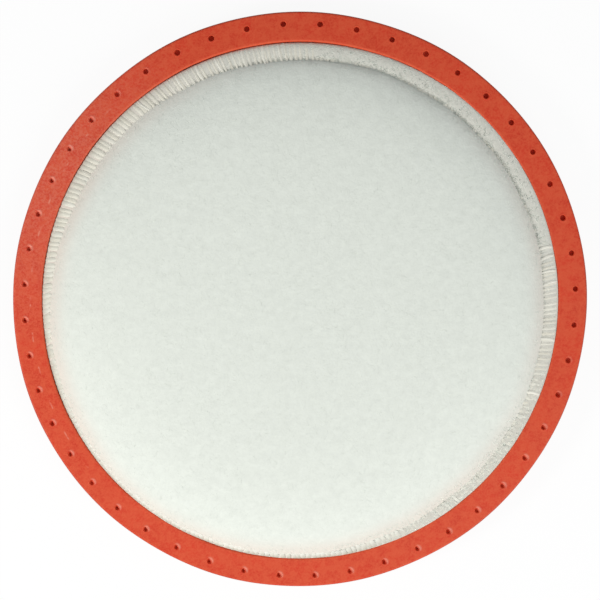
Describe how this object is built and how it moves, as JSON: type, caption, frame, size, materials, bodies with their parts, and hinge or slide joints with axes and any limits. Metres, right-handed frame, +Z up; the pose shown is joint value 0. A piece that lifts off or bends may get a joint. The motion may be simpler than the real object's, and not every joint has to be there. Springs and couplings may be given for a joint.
{
  "type": "vacuum pre-motor filter",
  "caption": "Round vacuum pre-motor filter: a domed fleece pad with an oversewn edge, held in a flat soft seal ring with a circle of small pin marks.",
  "frame": {"origin": "centre of the ring's underside, which is the base that the filter rests on", "axes": "+Z points up through the domed fleece face; +X and +Y lie in the plane of the ring, with the first pin mark a few degrees from +X"},
  "size_m": [0.15, 0.15, 0.0122],
  "materials": {
    "ring_rubber": "matte moulded orange-red silicone rubber",
    "white_fleece": "fuzzy white polyester fleece",
    "cream_thread": "cream polyester sewing thread"
  },
  "bodies": {
    "root": {"seal_ring": "ring_rubber", "fleece_pad": "white_fleece", "edge_stitching": "cream_thread"}
  },
  "joints": []
}
